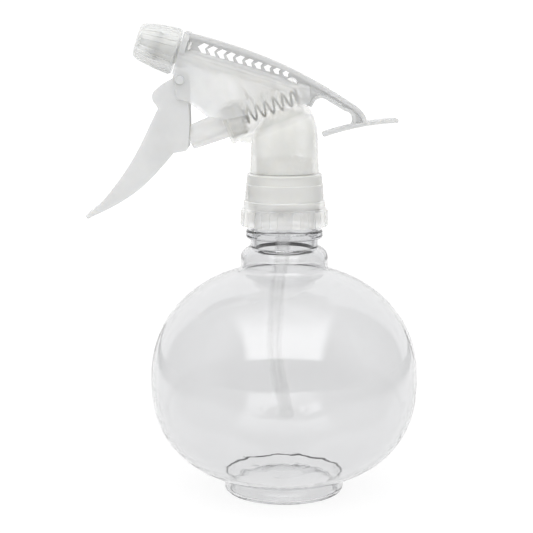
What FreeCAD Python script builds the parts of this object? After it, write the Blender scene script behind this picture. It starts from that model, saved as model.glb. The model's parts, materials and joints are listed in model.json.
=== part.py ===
import FreeCAD, Part
import math
import os
from FreeCAD import Placement, Rotation, Vector

# Hand mister: a clear globe bottle with a translucent trigger sprayer screwed onto its neck.
# Millimetres, +Z up. The origin is the centre of the foot ring on the resting surface, and the
# spray leaves towards -X. Outlines are (x, z) pairs, or (radius, height) pairs on a lathe.

# ---- Bottle -----------------------------------------------------------------------------------
GLOBE_RADIUS = 51.9
GLOBE_CENTRE_Z = 45.5
GLOBE_RISE = 44.4            # equator to the pole of the upper half
GLOBE_DROP = 42.2            # equator to the pole of the lower half
GLOBE_POWER_TOP = 2.15       # 2 would be an ellipse, more is squarer
GLOBE_POWER_BOTTOM = 2.4
GLOBE_POINTS = 26
WALL = 1.0
FOOT_RADIUS = 23.3
FOOT_FLAT = (20.4, 21.6)     # inner and outer radius of the ring that stands on the table
FOOT_CORNER = 1.7
PUSH_UP = 5.6                # height of the hollow under the foot
DOME_RADIUS = 65.0           # of that hollow's crown
CREASE_ROUND = 2.0           # where the globe turns up into the collar
COLLAR_RADIUS = 16.85
COLLAR_TOP_Z = 92.5
NECK_RADIUS = 13.1
NECK_Z = 96.8
BEAD_RADIUS = 14.8
BEAD_Z = (100.2, 103.4)
FINISH_RADIUS = 12.4         # 28 mm neck finish, thread root
FINISH_TOP_Z = 121.1
NECK_BORE = 10.9

# ---- Screw thread of the neck and the closure --------------------------------------------------
THREAD_PITCH = 25.4 / 6
THREAD_TURNS = 1.5
NECK_CREST = 13.65
NECK_THREAD_Z = 110.6
CAP_CREST = 12.85
CAP_THREAD_LAG = THREAD_PITCH / 2 + 0.25
RIDGE_FOOT = 2.0
RIDGE_TIP = 0.9
RIDGE_SINK = 0.3             # how far a ridge is rooted in its wall

# ---- Closure ----------------------------------------------------------------------------------
CAP_Z = (105.0, 125.1)
CAP_BORE = 14.05
CAP_TOP_BORE = 13.7
CAP_TOP_THICKNESS = 1.5
CAP_HOLE = 11.1
CAP_BAND_RADIUS = 16.35      # under the grip ribs
CAP_BAND_TOP_Z = 111.6
CAP_RIBS = 32
CAP_RIB_WIDTH = 1.1
CAP_RIB_HEIGHT = 0.6

# ---- Valve plug, gasket and dip tube ------------------------------------------------------------
GASKET_THICKNESS = 0.75
FLANGE_RADIUS = 12.9
FLANGE_TOP_Z = 123.5
PLUG_NECK_RADIUS = 10.7
PLUG_NECK_TOP_Z = 130.5
PLUG_BOSS_RADIUS = 4.6
PLUG_BOSS_Z = (109.0, 131.5)
TUBE_RADIUS = 3.1
TUBE_BORE = 2.2
TUBE_FIT = 0.05
TUBE_TOP_Z = 121.9
TUBE_ROUTE = ((0, 0, TUBE_TOP_Z), (0, 0, 101), (-3.2, 6, 76), (-4, 20, 48), (1.6, 35, 21))
INLET_BALL_RADIUS = 2.5
INLET_SEAT_Z = 126.0
INLET_SEAT_RADIUS = 1.6
INLET_CHAMBER = 2.9

# ---- Pump: the axis leans 21 degrees and meets the bottle's axis inside the stem ----------------
PUMP_TILT = 21
PUMP_ORIGIN = (-36.2, 138.6) # front end of the piston rod at rest
CYLINDER_RADIUS = 7.75
CYLINDER_BORE = 6.3
CYLINDER_T = (14.5, 45.8)    # mouth and closed end, along the pump axis
CYLINDER_END_WALL = 1.2
PISTON_HEAD_T = 22.2
PISTON_GROOVES = ((15.7, 17.1), (19.1, 21.3))
PISTON_LAND = 5.9
PISTON_GROOVE_RADIUS = 4.9
PISTON_BORE = 3.2
SEAL_FIT = 0.05
SPRING_RADIUS = 2.75
SPRING_WIRE = 0.42
SPRING_TURNS = 7

# ---- Stem -------------------------------------------------------------------------------------
STEM_FOOT_Z = 125.5
STEM_SOCKET_Z = 131.6
RISER_RADIUS = 4.6
RISER_BORE = 1.8

# ---- Nozzle and spray tube: the axis rises 17 degrees towards the front --------------------------
SPRAY_TILT = 17
SPRAY_ORIGIN = (-40.9, 171.1) # centre of the knob's back rim
SPRAY_TUBE_DROP = 1.0        # the tube lies this far under the nozzle axis
SPRAY_TUBE_RADIUS = 2.5
SPRAY_TUBE_BORE = 1.25
SPRAY_TUBE_END = -39.4
BARREL_FLANGE = (-4.5, -0.9)
BARREL_FLANGE_RADIUS = 5.4
BARREL_ROOT = 4.4
BARREL_CREST = 4.95
BARREL_SMOOTH = 4.2
BARREL_SHOULDER = 6.0
BARREL_END = 10.2
BARREL_CHAMBER = 2.4
CHAMBER_START = -2.5
KNOB_PITCH = 2.0
KNOB_THREAD_BORE = 5.35
KNOB_CREST = 4.75
KNOB_SEAL_BORE = 5.3
KNOB_WALL_START = 11.5
KNOB_FRONT = 15.6
KNOB_RIBS = 24
KNOB_RIB_WIDTH = 0.9
OUTLET_BALL_RADIUS = 1.5
OUTLET_SEAT_S = (-2.0, -0.4)
OUTLET_SEAT_HOLE = 1.0
CORE_S = (5.6, 9.8)

# ---- Shroud -----------------------------------------------------------------------------------
CHEEK_INSIDE = 8.05
CHEEK_OUTSIDE = 9.2
BAND_RADIUS = 8.8
BAND_S = (-3.3, -0.9)
WEB_HALF = 1.5
STRIP_HALF = 4.0
STRIP_DEPTH = 1.7
HOOK_HALF = 3.75
SHROUD_GAP = 0.1             # clearance around the pump housing it is snapped onto
WINDOWS = 10
WINDOW_FIRST = (-33.0, 173.2)
WINDOW_LAST = (-0.9, 163.4)
WINDOW_HALF_HEIGHT = (1.95, 1.05)
WINDOW_STROKE = (2.45, 1.8)

# ---- Trigger ----------------------------------------------------------------------------------
PIVOT = (-39.4, 160.8)
PIN_RADIUS = 1.6
PIN_HOLE = 1.66
EAR_RADIUS = 2.8
TRIGGER_HALF = 7.6
TRIGGER_INSIDE = 5.9
NOSE_RADIUS = 2.0
NOSE_GAP = 0.1

TOUCH = 1e-6
UP = Vector(0, 0, 1)
PUMP = Placement(Vector(PUMP_ORIGIN[0], 0, PUMP_ORIGIN[1]), Rotation(Vector(0, 1, 0), 90 - PUMP_TILT))
SPRAY = Placement(Vector(SPRAY_ORIGIN[0], 0, SPRAY_ORIGIN[1]), Rotation(Vector(0, 1, 0), SPRAY_TILT - 90))


# ---- Shape helpers ------------------------------------------------------------------------------
def outline(start, *steps):
    """Closed face in the XZ plane: a point adds a line, a pair of points an arc, a list a curve."""
    here = first = Vector(start[0], 0, start[1])
    edges = []
    for step in steps:
        if isinstance(step, list):
            points = [here] + [Vector(x, 0, z) for x, z in step]
            curve = Part.BSplineCurve()
            curve.interpolate(points)
            edges.append(curve.toShape())
            here = points[-1]
        elif isinstance(step[0], tuple):
            middle, end = (Vector(x, 0, z) for x, z in step)
            edges.append(Part.Arc(here, middle, end).toShape())
            here = end
        else:
            end = Vector(step[0], 0, step[1])
            edges.append(Part.makeLine(here, end))
            here = end
    if (here - first).Length > TOUCH:
        edges.append(Part.makeLine(here, first))
    return Part.Face(Part.Wire(edges))


def lathe(start, *steps):
    return outline(start, *steps).revolve(Vector(0, 0, 0), UP, 360)


def slab(face, inner, outer=None):
    """Plate of a side outline: between y = -inner and +inner, or a mirrored pair up to outer."""
    if outer is None:
        return face.translated(Vector(0, -inner, 0)).extrude(Vector(0, 2 * inner, 0))
    right = face.translated(Vector(0, inner, 0)).extrude(Vector(0, outer - inner, 0))
    return Part.makeCompound([right, right.mirror(Vector(0, 0, 0), Vector(0, 1, 0))])


def rod(radius, low, high):
    return Part.makeCylinder(radius, high - low, Vector(0, 0, low))


def placed(shape, placement):
    moved = shape.copy()
    moved.Placement = placement.multiply(shape.Placement)
    return moved


def fused(first, *others):
    return first.fuse(list(others)).removeSplitter()


def blend(pair, share):
    return pair[0] + (pair[1] - pair[0]) * share


def thread(root, crest, start, pitch, turns):
    """Helical ridge from the root radius to the crest radius, rooted a little in its wall."""
    sink = RIDGE_SINK if crest < root else -RIDGE_SINK
    scale = min(1, pitch / THREAD_PITCH * 1.1)
    foot = RIDGE_FOOT * scale / 2
    tip = RIDGE_TIP * scale / 2
    corners = [(root + sink, -foot), (crest, -tip), (crest, tip), (root + sink, foot)]
    profile = Part.makePolygon([Vector(r, 0, z) for r, z in corners + corners[:1]])
    helix = Part.makeHelix(pitch, pitch * turns, (root + crest) / 2)
    ridge = Part.Wire(helix.Edges).makePipeShell([profile], True, True)
    return ridge.translated(Vector(0, 0, start))


def coil(radius, wire, low, high, turns):
    """Round wire wound about the Z axis between two heights."""
    helix = Part.makeHelix((high - low - 2 * wire) / turns, high - low - 2 * wire, radius)
    ring = Part.Wire(Part.makeCircle(wire, Vector(radius, 0, 0), Vector(0, 1, 0)))
    spring = Part.Wire(helix.Edges).makePipeShell([ring], True, True)
    return spring.translated(Vector(0, 0, low + wire))


def rounded_route(points):
    """Straight runs joined by tangent arcs, each as large as its two runs allow."""
    points = [Vector(*point) for point in points]
    edges = []
    here = points[0]
    for before, corner, after in zip(points, points[1:], points[2:]):
        back = (before - corner).normalize()
        ahead = (after - corner).normalize()
        reach = 0.45 * min((before - corner).Length, (after - corner).Length)
        half_turn = (math.pi - back.getAngle(ahead)) / 2
        radius = reach / math.tan(half_turn)
        inward = (back + ahead).normalize()
        nearest = corner + inward * (radius / math.cos(half_turn) - radius)
        edges.append(Part.makeLine(here, corner + back * reach))
        edges.append(Part.Arc(corner + back * reach, nearest, corner + ahead * reach).toShape())
        here = corner + ahead * reach
    edges.append(Part.makeLine(here, points[-1]))
    return Part.Wire(edges)


def pipe(route, radius):
    ring = Part.Wire(Part.makeCircle(radius, route.Edges[0].firstVertex().Point, UP))
    return route.makePipeShell([ring], True, False)


def export(shape, name):
    shape.exportStep(os.path.join("parts", name + ".step"))


# ---- Bottle -----------------------------------------------------------------------------------
def globe_curve(inset, low_radius, high_radius):
    """Points up the globe's side, a super-ellipse, between two radii."""
    side = GLOBE_RADIUS - inset
    first = -math.acos((low_radius / side) ** (GLOBE_POWER_BOTTOM / 2))
    last = math.acos((high_radius / side) ** (GLOBE_POWER_TOP / 2))
    points = []
    for index in range(GLOBE_POINTS):
        angle = blend((first, last), index / (GLOBE_POINTS - 1))
        power = GLOBE_POWER_TOP if angle > 0 else GLOBE_POWER_BOTTOM
        reach = GLOBE_RISE if angle > 0 else -GLOBE_DROP
        radius = side * math.cos(angle) ** (2 / power)
        height = (reach - math.copysign(inset, reach)) * abs(math.sin(angle)) ** (2 / power)
        points.append((radius, GLOBE_CENTRE_Z + height))
    return points


def turned_up_globe(inset):
    """Globe side from the foot, then an arc up into the collar's wall: (curve points, arc)."""
    low_radius = FOOT_RADIUS - inset
    high_radius = COLLAR_RADIUS - inset
    rounding = CREASE_ROUND + inset
    curve = globe_curve(inset, low_radius, high_radius + 0.74 * rounding)
    height = curve[-1][1]
    middle = (high_radius + 0.205 * rounding, height + 0.355 * rounding)
    return curve, (middle, (high_radius, height + 0.965 * rounding))


def crown(inset, *radii):
    """Points on the hollow's crown under the foot, or on its upper face."""
    reach = DOME_RADIUS + inset
    return [(r, PUSH_UP - DOME_RADIUS + math.sqrt(reach**2 - r**2)) for r in radii]


def bottle():
    outside, outer_turn = turned_up_globe(0)
    inside, inner_turn = turned_up_globe(WALL)
    bead_round = 0.9
    shell = lathe(
        (0, PUSH_UP),
        tuple(crown(0, 4, 8)),
        crown(0, 12, 16) + [(17.9, 2.85), (19.1, 1.6), (19.7, 0.55), (FOOT_FLAT[0], 0)],
        (FOOT_FLAT[1], 0),
        ((FOOT_RADIUS - 0.5, 0.5), (FOOT_RADIUS, FOOT_CORNER)),
        outside[0],
        outside[1:],
        outer_turn,
        (COLLAR_RADIUS, COLLAR_TOP_Z),
        ((COLLAR_RADIUS - 1.1, COLLAR_TOP_Z + 3.0), (NECK_RADIUS, NECK_Z)),
        (NECK_RADIUS, BEAD_Z[0]),
        (BEAD_RADIUS - bead_round, BEAD_Z[0]),
        ((BEAD_RADIUS - 0.25, BEAD_Z[0] + 0.25), (BEAD_RADIUS, BEAD_Z[0] + bead_round)),
        (BEAD_RADIUS, BEAD_Z[1] - bead_round),
        ((BEAD_RADIUS - 0.25, BEAD_Z[1] - 0.25), (BEAD_RADIUS - bead_round, BEAD_Z[1])),
        (FINISH_RADIUS, BEAD_Z[1]),
        (FINISH_RADIUS, FINISH_TOP_Z - 0.5),
        (FINISH_RADIUS - 0.5, FINISH_TOP_Z),
        (0, FINISH_TOP_Z),
    )
    foot_inside = FOOT_RADIUS - WALL
    hollow = lathe(
        (0, PUSH_UP + WALL),
        tuple(crown(WALL, 4, 8)),
        crown(WALL, 12, 16.2) + [(18.5, 3.65), (20.0, 2.2), (20.7, 1.25), (21.4, WALL)],
        ((foot_inside - 0.3, WALL + 0.3), (foot_inside, WALL + 1.1)),
        inside[0],
        inside[1:],
        inner_turn,
        (COLLAR_RADIUS - WALL, COLLAR_TOP_Z - 0.4),
        ((COLLAR_RADIUS - 2.2, COLLAR_TOP_Z + 2.0), (NECK_BORE, NECK_Z - 1.2)),
        (NECK_BORE, FINISH_TOP_Z + 1),
        (0, FINISH_TOP_Z + 1),
    )
    screw = thread(FINISH_RADIUS, NECK_CREST, NECK_THREAD_Z, THREAD_PITCH, THREAD_TURNS)
    return shell.fuse(screw).cut(hollow)


# ---- Closure, gasket, valve plug and dip tube -----------------------------------------------------
def closure_cap():
    bottom, top = CAP_Z
    ceiling = top - CAP_TOP_THICKNESS
    band = CAP_BAND_RADIUS
    shell = lathe(
        (CAP_BORE, bottom),
        (band + 0.2, bottom),
        (band, CAP_BAND_TOP_Z),
        (15.85, CAP_BAND_TOP_Z + 0.3),
        (15.65, 114.5),
        (15.2, 114.8),
        (14.8, 121.0),
        (14.6, 121.2),
        (14.45, top - 0.9),
        ((14.2, top - 0.25), (13.6, top)),
        (CAP_HOLE, top),
        (CAP_HOLE, ceiling),
        (CAP_TOP_BORE, ceiling),
        (CAP_TOP_BORE, 120.3),
        (CAP_BORE, 119.9),
    )
    ribs = []
    rib_outline = outline(
        (band - 0.3, bottom + 0.4),
        (band + CAP_RIB_HEIGHT, bottom + 0.4),
        (band + CAP_RIB_HEIGHT - 0.25, CAP_BAND_TOP_Z - 0.9),
        (band - 0.1, CAP_BAND_TOP_Z - 0.15),
        (band - 0.3, CAP_BAND_TOP_Z - 0.15),
    )
    rib = slab(rib_outline, CAP_RIB_WIDTH / 2)
    for index in range(CAP_RIBS):
        turned = rib.copy()
        turned.rotate(Vector(0, 0, 0), UP, 360 * index / CAP_RIBS)
        ribs.append(turned)
    start = NECK_THREAD_Z - CAP_THREAD_LAG
    screw = thread(CAP_BORE, CAP_CREST, start, THREAD_PITCH, THREAD_TURNS)
    return shell.fuse(ribs + [screw])


def neck_gasket():
    low = FINISH_TOP_Z
    high = low + GASKET_THICKNESS
    return rod(FLANGE_RADIUS, low, high).cut(rod(PLUG_BOSS_RADIUS + 2.4, low, high))


def tube_retainer():
    flange_low = FINISH_TOP_Z + GASKET_THICKNESS
    socket = TUBE_RADIUS + TUBE_FIT
    cone = INLET_CHAMBER - INLET_SEAT_RADIUS
    boss_low, boss_high = PLUG_BOSS_Z
    skirt_inside = PLUG_NECK_RADIUS - 1.2
    return lathe(
        (socket, boss_low),
        (PLUG_BOSS_RADIUS, boss_low),
        (PLUG_BOSS_RADIUS, flange_low),
        (FLANGE_RADIUS, flange_low),
        (FLANGE_RADIUS, FLANGE_TOP_Z),
        (PLUG_NECK_RADIUS, FLANGE_TOP_Z),
        (PLUG_NECK_RADIUS, PLUG_NECK_TOP_Z),
        (skirt_inside, PLUG_NECK_TOP_Z),
        (skirt_inside, FLANGE_TOP_Z + 0.8),
        (PLUG_BOSS_RADIUS, FLANGE_TOP_Z + 0.8),
        (PLUG_BOSS_RADIUS, boss_high),
        (INLET_CHAMBER, boss_high),
        (INLET_CHAMBER, INLET_SEAT_Z + cone),
        (INLET_SEAT_RADIUS, INLET_SEAT_Z),
        (INLET_SEAT_RADIUS, TUBE_TOP_Z),
        (socket, TUBE_TOP_Z),
    )


def dip_tube():
    route = rounded_route(TUBE_ROUTE)
    return pipe(route, TUBE_RADIUS).cut(pipe(route, TUBE_BORE))


def seated_ball(radius, hole_radius, seat, play=0.04):
    """Ball resting in a 45 degree cone whose small end, at height seat, has the hole's radius."""
    touch_radius = radius * math.cos(math.pi / 4)
    centre = seat + (touch_radius - hole_radius) + touch_radius + play
    return Part.makeSphere(radius, Vector(0, 0, centre))


# ---- Pump housing -------------------------------------------------------------------------------
def spray_tube(radius, start, end):
    return placed(rod(radius, start, end).translated(Vector(-SPRAY_TUBE_DROP, 0, 0)), SPRAY)


def housing_outside(gap=0):
    """Outer form of stem, cylinder, spray tube and barrel; the gap makes the shroud's clearance."""
    stem = lathe(
        (0, STEM_FOOT_Z - gap),
        (13.2 + gap, STEM_FOOT_Z - gap),
        (12.8 + gap, 137.8),
        [(12.45 + gap, 141.6), (11.3 + gap, 146.2), (9.4 + gap, 150.0), (5.4 + gap, 153.6), (0, 155.2 + gap)],
    )
    mouth, end = CYLINDER_T
    wall = CYLINDER_RADIUS + gap
    cylinder = lathe(
        (0, mouth - gap),
        (wall + 0.3, mouth - gap),
        (wall + 0.3, mouth + 1.5),
        (wall, mouth + 1.8),
        (wall, end - 2.2),
        ((wall - 0.7, end - 0.6 + gap), (wall - 2.4, end + gap)),
        (0, end + gap),
    )
    keel = slab(
        outline((-17.6, 138.6), (-16.4, 137.2), (-10, 136.4), (-8, 136.4), (-8, 150), (-17.6, 146)),
        3.2 + gap,
    )
    rib = slab(outline((-20, 164.3), (-17, 154.6), (-5, 154.6), (-5, 158)), 0.8 + gap)
    tube = spray_tube(SPRAY_TUBE_RADIUS + gap, SPRAY_TUBE_END - 1.6 - gap, BARREL_FLANGE[0] + 1)
    flange = placed(rod(BARREL_FLANGE_RADIUS + gap, BARREL_FLANGE[0] - gap, BARREL_FLANGE[1]), SPRAY)
    return stem, placed(cylinder, PUMP), keel, rib, tube, flange


def pump_housing():
    barrel = lathe(
        (0, BARREL_FLANGE[0]),
        (BARREL_ROOT, BARREL_FLANGE[0]),
        (BARREL_ROOT, BARREL_SHOULDER),
        (BARREL_SMOOTH, BARREL_SHOULDER),
        (BARREL_SMOOTH, BARREL_END - 0.3),
        (BARREL_SMOOTH - 0.3, BARREL_END),
        (0, BARREL_END),
    )
    screw = thread(BARREL_ROOT, BARREL_CREST, 0.8, KNOB_PITCH, 2)
    body = fused(*housing_outside(), placed(barrel.fuse(screw), SPRAY))
    socket = PLUG_NECK_RADIUS + TUBE_FIT
    stem_hollow = lathe(
        (RISER_RADIUS, STEM_FOOT_Z),
        (socket, STEM_FOOT_Z),
        (socket, STEM_SOCKET_Z),
        (11.5, STEM_SOCKET_Z + 0.8),
        (11.4, 138.0),
        [(11.0, 141.4), (9.8, 145.6), (8.0, 148.6), (RISER_RADIUS, 151.2)],
    )
    mouth, end = CYLINDER_T
    cylinder_wall = placed(rod(CYLINDER_RADIUS, mouth, end - 0.5), PUMP)
    riser_socket = rod(RISER_RADIUS + 1, STEM_FOOT_Z - 1, PLUG_BOSS_Z[1] + 0.1)
    body = body.cut([stem_hollow.cut(cylinder_wall), riser_socket])
    bore = placed(rod(CYLINDER_BORE, mouth - 1, end - CYLINDER_END_WALL), PUMP)
    centre_z = PUMP_ORIGIN[1] - PUMP_ORIGIN[0] * math.tan(math.radians(PUMP_TILT))
    riser = rod(RISER_BORE, STEM_FOOT_Z, centre_z)
    slots = [
        Part.makeBox(x, y, 1.6, Vector(-x / 2, -y / 2, PLUG_BOSS_Z[1]))
        for x, y in ((2 * INLET_CHAMBER, 1.1), (1.1, 2 * INLET_CHAMBER))
    ]
    passage = spray_tube(SPRAY_TUBE_BORE, SPRAY_TUBE_END, CHAMBER_START + 0.2)
    chamber = placed(rod(BARREL_CHAMBER, CHAMBER_START, BARREL_END + 1), SPRAY)
    vent = placed(rod(0.5, CYLINDER_BORE - 1, CYLINDER_RADIUS + 2), PUMP)
    vent.rotate(PUMP.Base, Vector(0, 1, 0), -90)
    vent.translate(PUMP.Rotation.multVec(Vector(0, 0, 26)))
    return body.cut([bore, riser, passage, chamber, vent] + slots)


# ---- Piston, seals and springs ------------------------------------------------------------------
def piston():
    (rear_low, rear_high), (front_low, front_high) = PISTON_GROOVES
    groove = PISTON_GROOVE_RADIUS
    head = PISTON_HEAD_T
    return lathe(
        (PISTON_BORE, 0),
        (4.2, 0),
        (4.5, 0.3),
        (5.2, rear_low - 0.8),
        (PISTON_LAND, rear_low - 0.6),
        (PISTON_LAND, rear_low),
        (groove, rear_low),
        (groove, rear_high),
        (PISTON_LAND, rear_high),
        (PISTON_LAND, front_low),
        (groove, front_low),
        (groove, front_high),
        (PISTON_LAND, front_high),
        (PISTON_LAND - 0.3, head),
        (SPRING_RADIUS - SPRING_WIRE - 0.15, head),
        (SPRING_RADIUS - SPRING_WIRE - 0.3, head + 1.8),
        (0, head + 1.8),
        (0, front_low),
        (PISTON_BORE, front_low),
    )


def piston_ring(groove, lip):
    """Seal ring for one groove; a lip hollows its pressure side into a cup."""
    low, high = groove[0] + SEAL_FIT, groove[1] - SEAL_FIT
    inside = PISTON_GROOVE_RADIUS + SEAL_FIT
    outside = CYLINDER_BORE - SEAL_FIT
    middle = (inside + outside) / 2
    return lathe(
        (inside, low),
        (outside - 0.3, low),
        (outside, low + 0.3),
        (outside, high),
        (outside - 0.3, high),
        (middle, high - lip),
        (inside + 0.3, high),
        (inside, high),
    )


# ---- Nozzle -------------------------------------------------------------------------------------
def outlet_seat():
    low, high = OUTLET_SEAT_S
    cone = 0.4
    return lathe(
        (OUTLET_SEAT_HOLE, low),
        (BARREL_CHAMBER - TUBE_FIT, low),
        (BARREL_CHAMBER - TUBE_FIT, high),
        (OUTLET_SEAT_HOLE + cone, high),
        (OUTLET_SEAT_HOLE, high - cone),
    )


def swirl_core():
    """Plug in the barrel's mouth, with side grooves that feed a tangential swirl."""
    low, high = CORE_S
    radius = BARREL_CHAMBER - TUBE_FIT
    core = fused(rod(radius, low, high), rod(radius - 1.0, high, high + 0.9))
    grooves = []
    for index in range(3):
        side = Part.makeBox(1.2, 0.7, high - low, Vector(radius - 0.6, -0.35, low))
        feed = Part.makeBox(radius, 0.6, 0.6, Vector(0, radius - 1.35, high - 0.6))
        for groove in (side, feed):
            groove.rotate(Vector(0, 0, 0), UP, 120 * index)
            grooves.append(groove)
    return core.cut(grooves)


def nozzle_seal():
    return lathe(
        (BARREL_SMOOTH + SEAL_FIT, 6.9),
        (KNOB_SEAL_BORE - SEAL_FIT, 6.9),
        (KNOB_SEAL_BORE - SEAL_FIT, 8.1),
        (BARREL_SMOOTH + SEAL_FIT, 8.1),
    )


def nozzle_cap():
    skirt = lathe(
        (KNOB_THREAD_BORE, 0),
        (8.25, 0),
        (8.55, 0.3),
        ((7.75, 8.4), (6.6, 14.3)),
        ((6.2, 15.25), (5.3, KNOB_FRONT)),
        (2.6, KNOB_FRONT),
        (2.35, KNOB_FRONT - 0.3),
        (2.35, 14.0),
        (1.2, 14.0),
        (1.2, KNOB_WALL_START),
        (KNOB_SEAL_BORE, KNOB_WALL_START),
        (KNOB_SEAL_BORE, 6.3),
        (KNOB_THREAD_BORE, 6.1),
    )
    rib_outline = outline(
        (7.6, 0.7),
        (8.75, 0.7),
        (8.9, 1.0),
        ((8.1, 8.4), (6.95, 13.9)),
        (6.3, 14.6),
        (5.6, 14.6),
        (5.6, 12.0),
    )
    rib = slab(rib_outline, KNOB_RIB_WIDTH / 2)
    ribs = []
    for index in range(KNOB_RIBS):
        turned = rib.copy()
        turned.rotate(Vector(0, 0, 0), UP, 360 * index / KNOB_RIBS)
        ribs.append(turned)
    screw = thread(KNOB_THREAD_BORE, KNOB_CREST, 0.8 + KNOB_PITCH / 2, KNOB_PITCH, 1.5)
    return skirt.fuse(ribs + [screw])


def orifice_disc():
    return rod(2.3, 14.05, 15.0).cut(rod(0.3, 14, 15.2))


# ---- Shroud -------------------------------------------------------------------------------------
def strip_top():
    """Top edge from the front band back to the end of the hook arm."""
    return [(-26.4, 175.8), (-11.3, 170.8), (0.1, 166.1), (13.4, 159.3), (24.9, 152.3), (29.8, 148.3), (31.3, 144.2)]


def top_strip():
    front = (-37.55, 178.7)
    edge = strip_top()
    lower = [(x - 0.35, z - STRIP_DEPTH) for x, z in edge[:-2]] + [(28.3, 147.5), (29.8, 144.0)]
    return slab(outline(front, edge, lower[-1], lower[-2::-1] + [(front[0], front[1] - STRIP_DEPTH)]), STRIP_HALF)


def chevron(tip, half_height, stroke):
    """Arrow head window whose tip points to the spray; x runs back along the row."""
    arm = 1.05 * half_height
    face = outline((0, 0), (arm, half_height), (arm + stroke * 0.85, half_height * 0.9), (stroke + 0.5, 0),
                   (arm + stroke * 0.85, -half_height * 0.9), (arm, -half_height))
    window = slab(face, WEB_HALF + 1)
    fall = math.degrees(math.atan2(WINDOW_FIRST[1] - WINDOW_LAST[1], WINDOW_LAST[0] - WINDOW_FIRST[0]))
    window.rotate(Vector(0, 0, 0), Vector(0, 1, 0), fall)
    return window.translated(Vector(tip[0], 0, tip[1]))


def chevrons():
    windows = []
    for index in range(WINDOWS):
        share = index / (WINDOWS - 1)
        tip = (blend((WINDOW_FIRST[0], WINDOW_LAST[0]), share), blend((WINDOW_FIRST[1], WINDOW_LAST[1]), share))
        windows.append(chevron(tip, blend(WINDOW_HALF_HEIGHT, share), blend(WINDOW_STROKE, share)))
    return windows


def web():
    """Thin upright plate between the top strip and the roof, which holds the windows."""
    top = strip_top()
    face = outline((-37.7, 178.0), [(x, z - 0.8) for x, z in top[:5]], (23.5, 150.3), (16.0, 154.6), (12.4, 154.6),
                   (9.6, 152.0), (8.6, 150.6), (-5, 150.6), (-5, 160.6), (-39.6, 171.6))
    return slab(face, WEB_HALF)


def gable_section():
    """Gable over the spray tube and the two side walls, drawn across the nozzle axis."""
    inner, outer = CHEEK_INSIDE, CHEEK_OUTSIDE
    drop = 34
    half = outline((2.6, 0), (2.6, WEB_HALF), (2.0, 5.2), ((0.4, 8.2), (-2.4, outer)), (-drop, outer),
                   (-drop, inner), (-2.4, inner), ((-0.2, 7.3), (0.9, 4.9)), (1.65, 0))
    half.rotate(Vector(0, 0, 0), Vector(1, 0, 0), -90)
    return half


def side_limits():
    """Side outline that trims the gable: front band, lower edge over the trigger, rear edge."""
    return outline(
        (-36.6, 181), (-42.0, 163.2), (-41.2, 156.0),
        ((-40.6, 154.2), (-38.9, 153.4)),
        (-36.8, 153.0), (-32.3, 149.7), (-29.4, 147.2), (-22, 146.2), (4, 151.2), (9.4, 152.0), (9.4, 181),
    )


def gable():
    right = placed(gable_section().extrude(Vector(0, 0, -62)), SPRAY)
    both = right.fuse(right.mirror(Vector(0, 0, 0), Vector(0, 1, 0))).removeSplitter()
    return both.common(slab(side_limits(), CHEEK_OUTSIDE + 1))


def front_band():
    low, high = BAND_S
    edge = 0.5
    return placed(lathe((BARREL_FLANGE_RADIUS - 1, low), (BAND_RADIUS, low), (BAND_RADIUS, high - edge),
                        (BAND_RADIUS - edge, high), (BARREL_FLANGE_RADIUS - 1, high)), SPRAY)


def hook():
    """Arm's inner flange and the crossbar that the mister hangs by."""
    flange = slab(outline(
        (8.9, 151.0), (9.8, 152.2), ((12.6, 154.9), (16.3, 154.3)), (23.4, 150.1),
        ((26.9, 147.3), (26.3, 143.4)), (25.0, 143.2),
        ((25.6, 147.0), (22.8, 149.0)), (15.8, 153.2), ((12.9, 153.7), (10.8, 151.6)), (10.0, 150.4)), HOOK_HALF)
    web_end = slab(outline((21.5, 153.4), (26.6, 150.0), (30.4, 144.0), (25.8, 143.4), (26.2, 147.4), (22.0, 150.6)),
                   WEB_HALF)
    bar = slab(outline(
        (14.7, 140.9), ((27.4, 144.3), (42.3, 146.1)), ((43.2, 145.4), (42.5, 144.5)),
        ((27.8, 142.7), (15.3, 139.3)), ((14.4, 139.9), (14.7, 140.9))), HOOK_HALF)
    return flange, web_end, bar


def shroud():
    body = fused(top_strip(), web(), gable(), front_band(), *hook())
    trims = [placed(rod(BARREL_FLANGE_RADIUS + SHROUD_GAP, BARREL_FLANGE[0] - SHROUD_GAP, 2), SPRAY)]
    trims += housing_outside(SHROUD_GAP)
    pin_holes = Part.makeCylinder(PIN_HOLE, 40, Vector(PIVOT[0], -20, PIVOT[1]), Vector(0, 1, 0))
    return body.cut(trims + [pin_holes] + chevrons())


# ---- Trigger ------------------------------------------------------------------------------------
def trigger_outline():
    return outline(
        (-42.6, 161.2),
        (-45.6, 159.6),
        (-48.4, 157.4),
        ((-49.9, 154.8), (-48.7, 151.7)),
        (-47.7, 150.3),
        [(-50.7, 144.1), (-56.9, 131.9), (-65.2, 119.9), (-71.2, 113.1), (-75.3, 109.9)],
        ((-75.5, 109.0), (-73.9, 108.9)),
        [(-63.3, 114.1), (-55.5, 119.3), (-47.7, 126.8), (-42.0, 133.4)],
        (-37.4, 134.2),
        (-36.5, 135.3),
        (-35.9, 143.9),
        (-36.1, 152.0),
        (-36.3, 159.6),
    )


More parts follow.
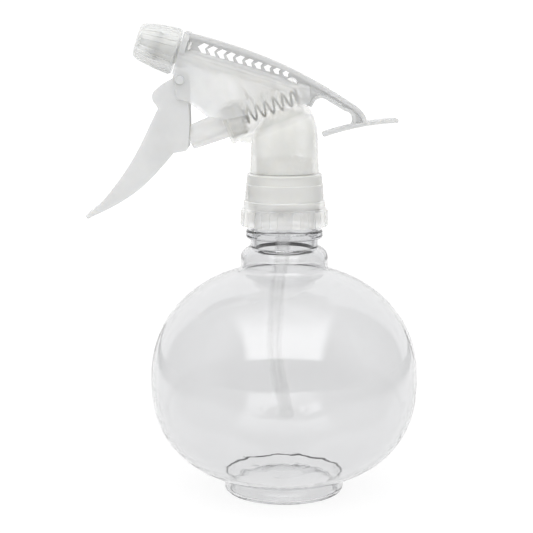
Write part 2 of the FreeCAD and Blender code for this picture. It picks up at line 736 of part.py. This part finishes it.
def trigger():
    """Channel section lever: a front wall for the fingers, two side walls and a pushing nose."""
    side = slab(trigger_outline(), TRIGGER_HALF)
    hollow = slab(trigger_outline(), TRIGGER_INSIDE).translated(Vector(1.7, 0, -0.7))
    rear = slab(outline((-44, 168), (-30, 168), (-30, 134), (-44, 146)), TRIGGER_INSIDE)
    pivot = Vector(PIVOT[0], 0, PIVOT[1])
    across = Vector(0, 1, 0)
    ears = []
    pins = []
    for sign in (-1, 1):
        ears.append(Part.makeCylinder(EAR_RADIUS, TRIGGER_HALF - TRIGGER_INSIDE,
                                      pivot + across * sign * TRIGGER_INSIDE, across * sign))
        pins.append(Part.makeCylinder(PIN_RADIUS, CHEEK_OUTSIDE - TRIGGER_HALF + 0.5,
                                      pivot + across * sign * (TRIGGER_HALF - 0.5), across * sign))
    nose_centre = PUMP.multVec(Vector(0, 0, -NOSE_RADIUS - NOSE_GAP))
    nose = Part.makeCylinder(NOSE_RADIUS, 2 * TRIGGER_INSIDE + 1,
                             nose_centre - across * (TRIGGER_INSIDE + 0.5), across)
    x, z = nose_centre.x, nose_centre.z
    stay = slab(outline((x, z + 1.2), (x - 14.5, z + 3.4), (x - 16.5, z - 1.0), (x, z - 1.2)), 0.9)
    stay = stay.common(slab(trigger_outline(), TRIGGER_HALF))
    return side.cut([hollow, rear]).fuse(ears + pins + [nose, stay]).removeSplitter()


def main():
    os.makedirs("parts", exist_ok=True)
    piston_head = PISTON_HEAD_T
    chamber_end = CYLINDER_T[1] - CYLINDER_END_WALL
    outlet_ball = seated_ball(OUTLET_BALL_RADIUS, OUTLET_SEAT_HOLE, OUTLET_SEAT_S[1] - 0.4)
    return_spring = coil(SPRING_RADIUS, SPRING_WIRE, piston_head + 0.05, chamber_end - 0.05, SPRING_TURNS)
    outlet_spring = coil(0.95, 0.16, outlet_ball.BoundBox.ZMax - 0.15, CORE_S[0] - 0.05, 6)
    export(bottle(), "bottle")
    export(closure_cap(), "closure_cap")
    export(neck_gasket(), "neck_gasket")
    export(tube_retainer(), "tube_retainer")
    export(dip_tube(), "dip_tube")
    export(seated_ball(INLET_BALL_RADIUS, INLET_SEAT_RADIUS, INLET_SEAT_Z), "inlet_ball")
    export(pump_housing(), "pump_housing")
    export(placed(piston(), PUMP), "piston")
    export(placed(piston_ring(PISTON_GROOVES[0], 0.3), PUMP), "piston_wiper")
    export(placed(piston_ring(PISTON_GROOVES[1], 1.2), PUMP), "piston_cup_seal")
    export(placed(return_spring, PUMP), "return_spring")
    export(placed(outlet_seat(), SPRAY), "outlet_seat")
    export(placed(outlet_ball, SPRAY), "outlet_ball")
    export(placed(outlet_spring, SPRAY), "outlet_spring")
    export(placed(swirl_core(), SPRAY), "swirl_core")
    export(placed(nozzle_seal(), SPRAY), "nozzle_seal")
    export(placed(nozzle_cap(), SPRAY), "nozzle_cap")
    export(placed(orifice_disc(), SPRAY), "orifice_disc")
    export(shroud(), "shroud")
    export(trigger(), "trigger")


main()
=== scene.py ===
import json
import math

import bpy
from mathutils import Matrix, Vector


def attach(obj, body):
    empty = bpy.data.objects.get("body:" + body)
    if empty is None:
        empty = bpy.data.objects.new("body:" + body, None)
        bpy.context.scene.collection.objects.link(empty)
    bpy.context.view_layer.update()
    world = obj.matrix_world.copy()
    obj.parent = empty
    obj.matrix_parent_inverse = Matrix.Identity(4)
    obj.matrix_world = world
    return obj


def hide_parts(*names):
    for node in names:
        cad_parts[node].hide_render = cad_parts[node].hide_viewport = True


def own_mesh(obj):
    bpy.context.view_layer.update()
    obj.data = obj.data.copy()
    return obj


# Hand mister: a clear globe bottle with a translucent trigger sprayer on its neck. Metres, +Z up.
# The spray leaves towards -X, and the main view looks along +Y.

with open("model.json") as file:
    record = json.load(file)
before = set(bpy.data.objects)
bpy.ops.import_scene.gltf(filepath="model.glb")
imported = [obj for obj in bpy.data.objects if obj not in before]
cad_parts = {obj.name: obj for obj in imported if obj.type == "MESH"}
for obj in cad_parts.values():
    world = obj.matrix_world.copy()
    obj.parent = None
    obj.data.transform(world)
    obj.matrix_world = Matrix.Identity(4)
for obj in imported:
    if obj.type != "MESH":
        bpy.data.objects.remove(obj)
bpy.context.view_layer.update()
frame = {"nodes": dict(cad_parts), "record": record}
nodes = frame["nodes"]
scene = bpy.context.scene

# Radiance of the studio round the object.
WHITE = 1.03  # backdrop behind the object
SIDE = 0.50  # walls beside it
ROOM = 0.12  # room behind the camera
GLOW = 2.7  # tall window over the camera

# Where those fade into each other: shares of the level direction towards +Y, or of the height.
WALL_TURN = (-0.80, -0.20)
BACKDROP_SIDES = (0.50, 0.64)
BACKDROP_TOP = (0.90, 0.84)
WINDOW_SIDES = (0.58, 0.44)
WINDOW_TOP = (1.95, 0.95)  # radians up from the camera's side
WINDOW_FOOT = (0.57, 0.64)

# Table top: the white patch that glows is a painted pool of light, and it fades out towards the camera and
# to both sides.
TABLE_RADIUS = 6.0
TABLE_RINGS = 24
TABLE_SPOKES = 96
TABLE_DROP = 0.0002
PATCH_FRONT = (-0.20, -0.10)
PATCH_SIDES = (0.18, 0.34)
PATCH_WIDENING = 0.32
PATCH_GLOW = (0.90, 0.97)
PATCH_RANGE = (0.05, 1.2)

CAMERA_PLACE = (-0.0069, -0.5708, 0.17821)
CAMERA_TILT = math.radians(81.1)
CAMERA_LENS = 100.7

# Axes of the pump cylinder and of the spray tube, as the CAD model has them.
PUMP_TILT = math.radians(21)
SPRAY_TILT = math.radians(17)
PUMP_AXIS = Vector((math.cos(PUMP_TILT), 0, math.sin(PUMP_TILT)))
SPRAY_AXIS = Vector((-math.cos(SPRAY_TILT), 0, math.sin(SPRAY_TILT)))
PUMP_ORIGIN = Vector((-0.0362, 0, 0.1386))
SPRAY_ORIGIN = Vector((-0.0409, 0, 0.1711))


# ---- Node helpers -------------------------------------------------------------------------------
class Graph:
    """A material's node tree, with its nodes laid out as they are made."""

    def __init__(self, name):
        self.material = bpy.data.materials.new(name)
        self.material.use_nodes = True
        self.tree = self.material.node_tree
        self.tree.nodes.clear()
        self.made = 0

    def node(self, kind, **settings):
        node = self.tree.nodes.new(kind)
        node.location = (220 * (self.made % 8), -260 * (self.made // 8))
        self.made += 1
        for key, value in settings.items():
            setattr(node, key, value)
        return node

    def link(self, source, target):
        self.tree.links.new(source, target)

    def noise(self, scale, detail=3.0, stretch=(1, 1, 1), roughness=0.5):
        """Noise over the part's own coordinates; scale is in waves per metre."""
        place = self.node("ShaderNodeTexCoord")
        mapping = self.node("ShaderNodeMapping")
        mapping.inputs["Scale"].default_value = stretch
        noise = self.node("ShaderNodeTexNoise")
        noise.inputs["Scale"].default_value = scale
        noise.inputs["Detail"].default_value = detail
        noise.inputs["Roughness"].default_value = roughness
        self.link(place.outputs["Object"], mapping.inputs["Vector"])
        self.link(mapping.outputs["Vector"], noise.inputs["Vector"])
        return noise.outputs["Fac"]

    def spread(self, value, low, high, start=0.3, end=0.7, smooth=False):
        """Take a value between start and end to a value between low and high."""
        node = self.node("ShaderNodeMapRange", interpolation_type="SMOOTHSTEP" if smooth else "LINEAR")
        node.inputs["From Min"].default_value = start
        node.inputs["From Max"].default_value = end
        node.inputs["To Min"].default_value = low
        node.inputs["To Max"].default_value = high
        self.link(value, node.inputs["Value"])
        return node.outputs["Result"]

    def tint(self, value, low, high):
        """Blend between two colours by a noise value."""
        ramp = self.node("ShaderNodeValToRGB")
        ramp.color_ramp.elements[0].position = 0.3
        ramp.color_ramp.elements[1].position = 0.7
        ramp.color_ramp.elements[0].color = (*low, 1)
        ramp.color_ramp.elements[1].color = (*high, 1)
        self.link(value, ramp.inputs["Fac"])
        return ramp.outputs["Color"]

    def mix(self, share, first, second, kind):
        """Blend from a socket to a plain value by a share from 0 to 1."""
        node = self.node("ShaderNodeMix", data_type=kind)
        factor, start, end = [socket for socket in node.inputs if socket.enabled]
        self.link(share, factor)
        self.link(first, start)
        end.default_value = (*second, 1) if kind == "RGBA" else second
        return [socket for socket in node.outputs if socket.enabled][0]

    def along(self, direction, start, end):
        """0 to 1 with the place along a direction, in metres of the part's own coordinates."""
        place = self.node("ShaderNodeTexCoord")
        dot = self.node("ShaderNodeVectorMath", operation="DOT_PRODUCT")
        self.link(place.outputs["Object"], dot.inputs[0])
        dot.inputs[1].default_value = direction
        return self.spread(dot.outputs["Value"], 0.0, 1.0, start, end)

    def bump(self, value, distance, strength=1.0, below=None):
        node = self.node("ShaderNodeBump")
        node.inputs["Distance"].default_value = distance
        node.inputs["Strength"].default_value = strength
        self.link(value, node.inputs["Height"])
        if below is not None:
            self.link(below, node.inputs["Normal"])
        return node.outputs["Normal"]

    def principled(self, ior, transmission=0.0, metallic=0.0):
        shader = self.node("ShaderNodeBsdfPrincipled")
        shader.inputs["IOR"].default_value = ior
        shader.inputs["Transmission Weight"].default_value = transmission
        shader.inputs["Metallic"].default_value = metallic
        output = self.node("ShaderNodeOutputMaterial")
        self.link(shader.outputs["BSDF"], output.inputs["Surface"])
        return shader, output


def clear_plastic(name, ior, haze, tint, absorption, density, waviness, rough):
    """Clear blown plastic: a faint haze on each face, light lost in its depth, and slight waves."""
    g = Graph(name)
    shader, output = g.principled(ior, transmission=1.0 - haze)
    g.link(g.tint(g.noise(35), *tint), shader.inputs["Base Color"])
    g.link(g.spread(g.noise(160), *rough), shader.inputs["Roughness"])
    broad = g.bump(g.noise(28, detail=2), waviness)
    g.link(g.bump(g.noise(420, detail=2), waviness / 200, below=broad), shader.inputs["Normal"])
    volume = g.node("ShaderNodeVolumeAbsorption")
    volume.inputs["Color"].default_value = (*absorption, 1)
    volume.inputs["Density"].default_value = density
    g.link(volume.outputs["Volume"], output.inputs["Volume"])
    return g.material


def milky_plastic(
    name, low, high, cover, rough, scatter, transmission=0.0, grain=1400, relief=0.00002, ior=1.49, zones=()
):
    """Moulded polypropylene: satin and cloudy, so that what lies behind a thin wall still shows.

    Each zone is (function of the graph giving 0 to 1 over the part, its own cover, its own shade).
    """
    g = Graph(name)
    shader, _ = g.principled(ior, transmission=transmission)
    cloud = g.noise(70, detail=4)
    veil = g.spread(cloud, cover - 0.03, cover + 0.03)
    colour = g.tint(cloud, low, high)
    for where, zone_cover, zone_shade in zones:
        share = where(g)
        veil = g.mix(share, veil, zone_cover, "FLOAT")
        colour = g.mix(share, colour, zone_shade, "RGBA")
    g.link(veil, shader.inputs["Alpha"])
    shader.inputs["Subsurface Weight"].default_value = scatter[0]
    shader.inputs["Subsurface Radius"].default_value = (1.0, 0.95, 0.85)
    shader.inputs["Subsurface Scale"].default_value = scatter[1]
    g.link(colour, shader.inputs["Base Color"])
    g.link(g.spread(g.noise(240, detail=4), *rough), shader.inputs["Roughness"])
    flow = g.bump(g.noise(90, detail=2, stretch=(1, 1, 0.4)), relief * 4)
    g.link(g.bump(g.noise(grain, detail=2), relief, below=flow), shader.inputs["Normal"])
    return g.material


def metal(name, low, high, rough, scale=900):
    g = Graph(name)
    shader, _ = g.principled(2.5, metallic=1.0)
    g.link(g.tint(g.noise(scale), low, high), shader.inputs["Base Color"])
    g.link(g.spread(g.noise(scale * 2), *rough), shader.inputs["Roughness"])
    g.link(g.bump(g.noise(scale * 3, stretch=(1, 1, 0.2)), 0.000008), shader.inputs["Normal"])
    return g.material


def foam(name, low, high):
    g = Graph(name)
    shader, _ = g.principled(1.45)
    g.link(g.tint(g.noise(1500), low, high), shader.inputs["Base Color"])
    g.link(g.spread(g.noise(800), 0.75, 0.95), shader.inputs["Roughness"])
    g.link(g.bump(g.noise(3000), 0.00006), shader.inputs["Normal"])
    return g.material


def strip_and_hook(g):
    """The shroud's top strip and its hook arm, which are thicker and cloudier than its side walls."""
    larger = g.node("ShaderNodeMath", operation="MAXIMUM")
    g.link(g.along((0.305, 0, 1), 0.1588, 0.1604), larger.inputs[0])
    g.link(g.along((1, 0, 0), 0.004, 0.009), larger.inputs[1])
    return larger.outputs[0]


def shroud_rear(g):
    """The rear of the shroud's side walls, where they are clearest and the spring shows through."""
    return g.along((1, 0, 0.6), 0.064, 0.082)


def cylinder_rear(g):
    """The pump cylinder round the return spring, clearer than the stem under it."""
    smaller = g.node("ShaderNodeMath", operation="MINIMUM")
    g.link(g.along((PUMP_AXIS.x, 0, PUMP_AXIS.z), 0.024, 0.036), smaller.inputs[0])
    g.link(g.along((-PUMP_AXIS.z, 0, PUMP_AXIS.x), 0.1335, 0.1365), smaller.inputs[1])
    return smaller.outputs[0]


def closure_top(g):
    """The plain upper part of the closure, above its ribbed band."""
    return g.along((0, 0, 1), 0.1120, 0.1150)


finishes = {
    "clear_pet": clear_plastic(
        "clear_pet", 1.52, 0.03, ((0.880, 0.881, 0.884), (0.900, 0.901, 0.904)),
        (0.80, 0.81, 0.84), 70, 0.00004, (0.0, 0.015),
    ),
    "frosted_pp": milky_plastic(
        "frosted_pp", (0.95, 0.95, 0.91), (0.99, 0.99, 0.95), 0.42, (0.18, 0.30), (0.5, 0.0015)
    ),
    "milky_pp": milky_plastic(
        "milky_pp", (0.83, 0.835, 0.835), (0.87, 0.875, 0.875), 0.34, (0.30, 0.42), (0.6, 0.002),
        zones=(
            (shroud_rear, 0.17, (0.84, 0.84, 0.82)),
            (strip_and_hook, 0.62, (0.68, 0.685, 0.685)),
        ),
    ),
    "piston_pe": milky_plastic(
        "piston_pe", (0.96, 0.96, 0.94), (1.0, 1.0, 0.98), 0.45, (0.30, 0.45), (0.8, 0.003)
    ),
    "seal_pe": milky_plastic(
        "seal_pe", (0.90, 0.90, 0.88), (0.95, 0.95, 0.93), 0.85, (0.4, 0.5), (0.5, 0.002)
    ),
    "tube_pe": milky_plastic(
        "tube_pe", (0.97, 0.97, 0.965), (1.0, 1.0, 0.995), 0.16, (0.06, 0.12), (0.3, 0.002),
        transmission=0.75,
    ),
    "gasket_foam": foam("gasket_foam", (0.80, 0.80, 0.78), (0.88, 0.88, 0.86)),
    "gasket_rubber": foam("gasket_rubber", (0.10, 0.10, 0.11), (0.16, 0.16, 0.17)),
    "ball_steel": metal("ball_steel", (0.62, 0.62, 0.63), (0.70, 0.70, 0.71), (0.08, 0.16)),
    "spring_steel": metal("spring_steel", (0.04, 0.04, 0.045), (0.08, 0.08, 0.09), (0.22, 0.36)),
}
special = {
    "pump_housing": milky_plastic(
        "housing_pp", (0.94, 0.94, 0.90), (0.98, 0.98, 0.945), 0.42, (0.18, 0.30), (0.5, 0.0015),
        zones=((cylinder_rear, 0.20, (0.92, 0.92, 0.88)),),
    ),
    "trigger": milky_plastic(
        "trigger_pp", (0.77, 0.775, 0.775), (0.81, 0.815, 0.815), 0.80, (0.30, 0.42), (0.5, 0.002)
    ),
    "closure_cap": milky_plastic(
        "closure_pp", (0.95, 0.95, 0.92), (0.99, 0.99, 0.96), 0.32, (0.12, 0.22), (0.35, 0.001),
        zones=((closure_top, 0.55, (0.95, 0.95, 0.915)),),
    ),
    "nozzle_cap": milky_plastic(
        "nozzle_pp", (0.79, 0.80, 0.79), (0.85, 0.855, 0.845), 0.42, (0.12, 0.22), (0.4, 0.002)
    ),
}
slots = {part["node"]: part["material_slot"] for part in frame["record"]["subparts"]}
for name, node in nodes.items():
    node.data.materials.clear()
    node.data.materials.append(special.get(name) or finishes[slots[name]])


# ---- Springs ------------------------------------------------------------------------------------
def spring(name, node, base, axis, low, high, radius, wire, turns):
    """Wire spring with a closed coil at each end, hung on the sprayer head's body."""
    curve = bpy.data.curves.new(name, "CURVE")
    curve.dimensions = "3D"
    curve.bevel_depth = wire
    curve.bevel_resolution = 5
    curve.use_fill_caps = True
    spline = curve.splines.new("POLY")
    steps = 36  # points in each turn
    count = round((turns + 2) * steps) + 1
    spline.points.add(count - 1)
    span = high - low - 2 * wire
    closed = 2.05 * wire
    side = Vector((0, 1, 0))
    up = axis.cross(side)
    for index, point in enumerate(spline.points):
        turn = index / steps
        if turn < 1:
            rise = closed * turn
        elif turn > turns + 1:
            rise = span - closed * (turns + 2 - turn)
        else:
            rise = closed + (span - 2 * closed) * (turn - 1) / turns
        angle = 2 * math.pi * turn
        outwards = side * math.cos(angle) + up * math.sin(angle)
        place = base + axis * (low + wire + rise) + outwards * radius
        point.co = (*place, 1)
    holder = bpy.data.objects.new(name, curve)
    scene.collection.objects.link(holder)
    bpy.context.view_layer.update()
    mesh = bpy.data.meshes.new_from_object(holder.evaluated_get(bpy.context.evaluated_depsgraph_get()))
    bpy.data.objects.remove(holder)
    mesh.name = name
    mesh.shade_smooth()
    mesh.materials.clear()
    mesh.materials.append(finishes["spring_steel"])
    piece = bpy.data.objects.new(name, mesh)
    scene.collection.objects.link(piece)
    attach(piece, "sprayer_head")
    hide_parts(node)
    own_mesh(piece)
    return piece


spring(
    "return_spring_wire", "return_spring", PUMP_ORIGIN, PUMP_AXIS,
    low=0.02225, high=0.04455, radius=0.00275, wire=0.00042, turns=5.5,
)
spring(
    "outlet_spring_wire", "outlet_spring", SPRAY_ORIGIN, SPRAY_AXIS,
    low=0.00172, high=0.00555, radius=0.00095, wire=0.00016, turns=4.5,
)


# ---- Studio -------------------------------------------------------------------------------------
def studio_world():
    """White backdrop behind the object, grey walls beside it, and a dark room with a tall window."""
    world = bpy.data.worlds.new("studio")
    world.use_nodes = True
    tree = world.node_tree
    tree.nodes.clear()

    def math_node(operation, first, second=None):
        node = tree.nodes.new("ShaderNodeMath")
        node.operation = operation
        for socket, value in zip(node.inputs, (first, second)):
            if isinstance(value, (int, float)):
                socket.default_value = value
            elif value is not None:
                tree.links.new(value, socket)
        return node.outputs[0]

    def step(value, start, end, low=0.0, high=1.0):
        node = tree.nodes.new("ShaderNodeMapRange")
        node.interpolation_type = "SMOOTHSTEP"
        for socket, number in zip(("From Min", "From Max", "To Min", "To Max"), (start, end, low, high)):
            node.inputs[socket].default_value = number
        tree.links.new(value, node.inputs["Value"])
        return node.outputs["Result"]

    place = tree.nodes.new("ShaderNodeTexCoord")
    split = tree.nodes.new("ShaderNodeSeparateXYZ")
    tree.links.new(place.outputs["Generated"], split.inputs[0])
    x, y, z = split.outputs
    level = math_node("SQRT", math_node("ADD", math_node("MULTIPLY", x, x), math_node("MULTIPLY", y, y)))
    ahead = math_node("DIVIDE", y, math_node("MAXIMUM", level, 0.02))
    backdrop = math_node("MULTIPLY", step(ahead, *BACKDROP_SIDES), step(z, *BACKDROP_TOP))
    climb = math_node("ARCTAN2", z, math_node("MULTIPLY", y, -1))
    fade = math_node("MULTIPLY", step(climb, *WINDOW_TOP), step(climb, *WINDOW_FOOT))
    narrow = step(math_node("ABSOLUTE", x), *WINDOW_SIDES)
    glow = math_node("MULTIPLY", math_node("MULTIPLY", fade, narrow), GLOW)
    room = step(ahead, *WALL_TURN, ROOM, SIDE)
    brighter = math_node("SUBTRACT", WHITE, room)
    walls = math_node("ADD", room, math_node("MULTIPLY", backdrop, brighter))
    background = tree.nodes.new("ShaderNodeBackground")
    background.inputs["Color"].default_value = (1, 1, 1, 1)
    tree.links.new(math_node("ADD", walls, glow), background.inputs["Strength"])
    output = tree.nodes.new("ShaderNodeOutputWorld")
    tree.links.new(background.outputs["Background"], output.inputs["Surface"])
    scene.world = world


def floor():
    """Pale table top with a painted pool of light: it glows white under and behind the object and turns
    greyer towards the camera and the sides.
    """
    spokes = TABLE_SPOKES
    vertices = [(0.0, 0.0, 0.0)]
    for ring in range(1, TABLE_RINGS + 1):
        radius = TABLE_RADIUS * (ring / TABLE_RINGS) ** 3
        for spoke in range(spokes):
            angle = 2 * math.pi * spoke / spokes
            vertices.append((radius * math.cos(angle), radius * math.sin(angle), 0.0))
    faces = [(0, 1 + spoke, 1 + (spoke + 1) % spokes) for spoke in range(spokes)]
    for ring in range(TABLE_RINGS - 1):
        inner = 1 + ring * spokes
        outer = inner + spokes
        for spoke in range(spokes):
            after = (spoke + 1) % spokes
            faces.append((inner + spoke, outer + spoke, outer + after, inner + after))
    mesh = bpy.data.meshes.new("table_top")
    mesh.from_pydata(vertices, [], faces)
    piece = bpy.data.objects.new("table_top", mesh)
    scene.collection.objects.link(piece)
    piece.location.z = -TABLE_DROP

    g = Graph("table_paper_and_glow")
    shader, _ = g.principled(1.45)
    place = g.node("ShaderNodeTexCoord")
    split = g.node("ShaderNodeSeparateXYZ")
    g.link(place.outputs["Object"], split.inputs[0])
    behind = g.spread(split.outputs["Y"], 0.0, 1.0, *PATCH_FRONT, smooth=True)
    width = g.node("ShaderNodeMath", operation="ABSOLUTE")
    g.link(split.outputs["X"], width.inputs[0])
    reach = g.node("ShaderNodeMath", operation="MULTIPLY_ADD")
    g.link(split.outputs["Y"], reach.inputs[0])
    reach.inputs[1].default_value = -PATCH_WIDENING
    g.link(width.outputs[0], reach.inputs[2])
    beside = g.spread(reach.outputs[0], 1.0, 0.0, *PATCH_SIDES, smooth=True)
    both = g.node("ShaderNodeMath", operation="MULTIPLY")
    g.link(behind, both.inputs[0])
    g.link(beside, both.inputs[1])
    distance = g.node("ShaderNodeVectorMath", operation="LENGTH")
    g.link(place.outputs["Object"], distance.inputs[0])
    # Glow strength that fades with distance from the object: painted light on the table, where no lamp
    # shines.
    glow_falloff = g.spread(distance.outputs["Value"], *PATCH_GLOW, *PATCH_RANGE)
    glow = g.node("ShaderNodeMath", operation="MULTIPLY")
    g.link(both.outputs[0], glow.inputs[0])
    g.link(glow_falloff, glow.inputs[1])
    grain = g.tint(g.noise(900), (0.44, 0.44, 0.44), (0.48, 0.48, 0.48))
    # Little diffuse colour inside the patch, where the painted glow gives the white, so shadows barely show
    # there.
    g.link(g.mix(both.outputs[0], grain, (0.12, 0.12, 0.12), "RGBA"), shader.inputs["Base Color"])
    g.link(glow.outputs[0], shader.inputs["Emission Strength"])
    shader.inputs["Emission Color"].default_value = (1, 1, 1, 1)
    shader.inputs["Roughness"].default_value = 0.9
    shader.inputs["Specular IOR Level"].default_value = 0.1
    mesh.materials.append(g.material)


def fill_light():
    """Broad soft lamp over the camera, which lights the object but is mirrored in nothing."""
    light = bpy.data.lights.new("fill_softbox", "AREA")
    light.shape = "RECTANGLE"
    light.size = 1.0
    light.size_y = 1.0
    light.energy = 5.0
    lamp = bpy.data.objects.new("fill_softbox", light)
    elevation, azimuth = math.radians(20), math.radians(-3)
    away = Vector((
        math.sin(azimuth) * math.cos(elevation),
        -math.cos(azimuth) * math.cos(elevation),
        math.sin(elevation),
    ))
    target = Vector((0, 0, 0.08))
    distance = 1.2
    lamp.location = target + away * distance
    lamp.rotation_euler = away.to_track_quat("Z", "Y").to_euler()
    lamp.visible_camera = False
    lamp.visible_glossy = False
    lamp.visible_transmission = False
    scene.collection.objects.link(lamp)


def main_camera():
    camera = bpy.data.cameras.new("camera")
    camera.lens = CAMERA_LENS
    camera.sensor_width = 36
    camera.clip_start = 0.01
    camera.clip_end = 20
    eye = bpy.data.objects.new("camera", camera)
    eye.location = CAMERA_PLACE
    eye.rotation_euler = (CAMERA_TILT, 0, 0)
    scene.collection.objects.link(eye)
    return eye


studio_world()
floor()
fill_light()
scene.camera = main_camera()
scene.view_settings.view_transform = "Standard"
